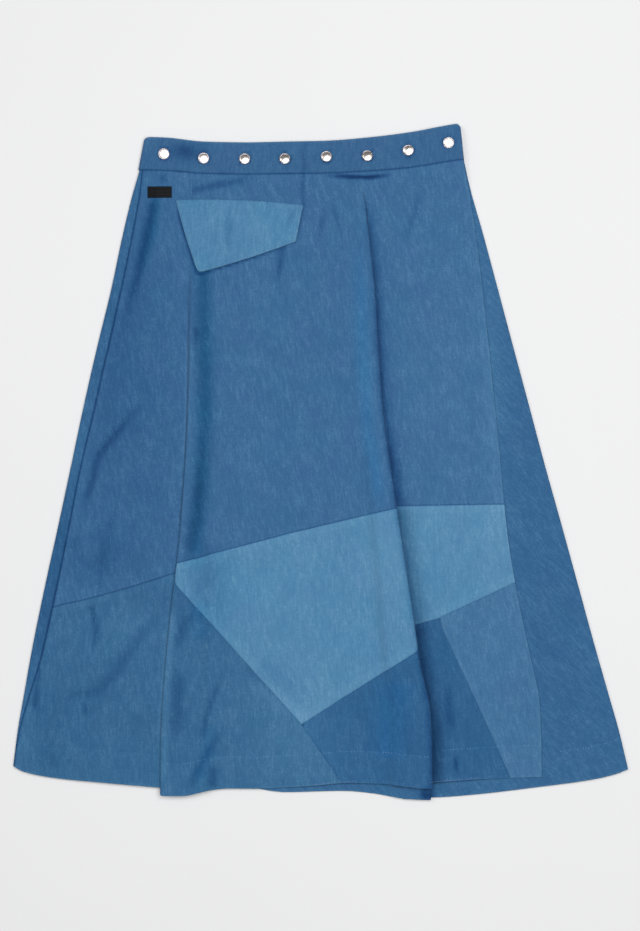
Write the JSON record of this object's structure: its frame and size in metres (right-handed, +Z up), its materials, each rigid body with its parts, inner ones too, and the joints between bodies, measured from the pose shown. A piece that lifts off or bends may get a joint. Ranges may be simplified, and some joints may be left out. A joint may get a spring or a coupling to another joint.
{
  "type": "wrap skirt",
  "caption": "Flared denim wrap skirt lying flat, snapped shut at the waistband, with a pocket flap, two soft pleats and patchwork in the lower front.",
  "frame": {"origin": "bottom centre of the bounding box, on the surface that the skirt lies on", "axes": "+Z up from the surface towards the viewer, +Y from the hem up to the waist, +X to the viewer's right"},
  "size_m": [0.6949, 0.7649, 0.0124],
  "materials": {
    "denim": "washed mid-blue denim",
    "denim_light": "washed light blue denim",
    "denim_lower": "washed mid-blue denim",
    "denim_dark": "washed deeper blue denim",
    "denim_pale": "washed mid-blue denim",
    "denim_under": "washed mid-blue denim",
    "denim_back": "washed mid-blue denim",
    "denim_band": "washed mid-blue denim",
    "denim_flap": "washed light blue denim",
    "label_weave": "plain black woven tape",
    "snap_metal": "polished nickel"
  },
  "bodies": {
    "root": {"front_upper": "denim", "front_light_insert": "denim_light", "front_lower_left": "denim_lower", "front_dark_insert": "denim_dark", "front_lower_right": "denim_pale", "under_front": "denim_under", "back_panel": "denim_back", "waistband": "denim_band", "pocket_flap": "denim_flap", "woven_label": "label_weave", "snap_1": "snap_metal", "snap_2": "snap_metal", "snap_3": "snap_metal", "snap_4": "snap_metal", "snap_5": "snap_metal", "snap_6": "snap_metal", "snap_7": "snap_metal", "snap_8": "snap_metal"}
  },
  "joints": []
}
